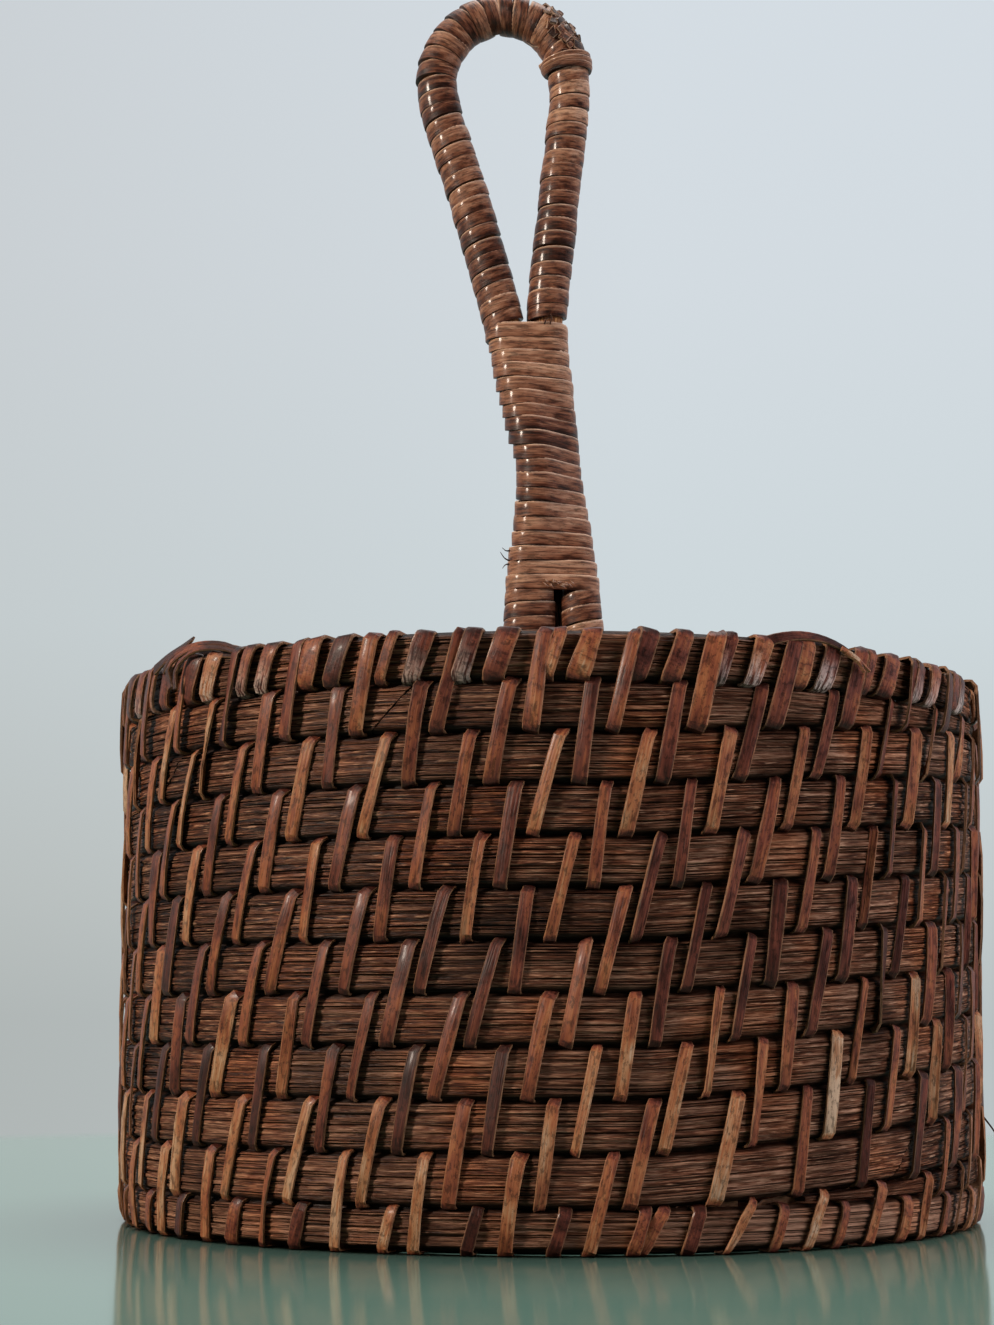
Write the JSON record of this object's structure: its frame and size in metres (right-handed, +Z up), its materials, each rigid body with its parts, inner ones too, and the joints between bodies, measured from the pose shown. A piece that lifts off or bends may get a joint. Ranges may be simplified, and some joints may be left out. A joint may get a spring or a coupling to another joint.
{
  "type": "rattan glass carrier",
  "caption": "Round coil-sewn rattan glass carrier with a tall wrapped hairpin loop handle in the middle, cane-lashed walls and radial dividers inside.",
  "frame": {"origin": "middle of the base, on the plane that the base spiral rests on", "axes": "+Z up along the handle, front towards -Y, +X to the right seen from the front; the handle loop leans towards -X"},
  "size_m": [0.2602, 0.2602, 0.3885],
  "materials": {
    "core_cane": "satin",
    "strap_cane": "gloss",
    "base_cane": "satin",
    "rattan_rod": "satin",
    "binding_cane": "gloss"
  },
  "bodies": {
    "root": {"base_coil": "base_cane", "foot_ring": "core_cane", "course_01": "core_cane", "course_02": "core_cane", "course_03": "core_cane", "course_04": "core_cane", "course_05": "core_cane", "course_06": "core_cane", "course_07": "core_cane", "course_08": "core_cane", "course_09": "core_cane", "course_10": "core_cane", "rim_ring": "core_cane", "lashing_01": "strap_cane", "lashing_02": "strap_cane", "lashing_03": "strap_cane", "lashing_04": "strap_cane", "lashing_05": "strap_cane", "lashing_06": "strap_cane", "lashing_07": "strap_cane", "lashing_08": "strap_cane", "lashing_09": "strap_cane", "lashing_10": "strap_cane", "lashing_11": "strap_cane", "rim_lashing": "strap_cane", "rim_overcast": "strap_cane", "handle_rod": "rattan_rod", "loop_wrap_left": "binding_cane", "loop_wrap_right": "binding_cane", "trunk_wrap": "binding_cane", "leg_wrap_left": "binding_cane", "leg_wrap_right": "binding_cane", "leg_spacer": "core_cane", "divider_1": "base_cane", "divider_2": "base_cane", "divider_3": "base_cane", "divider_4": "base_cane", "divider_5": "base_cane", "divider_6": "base_cane"}
  },
  "joints": []
}
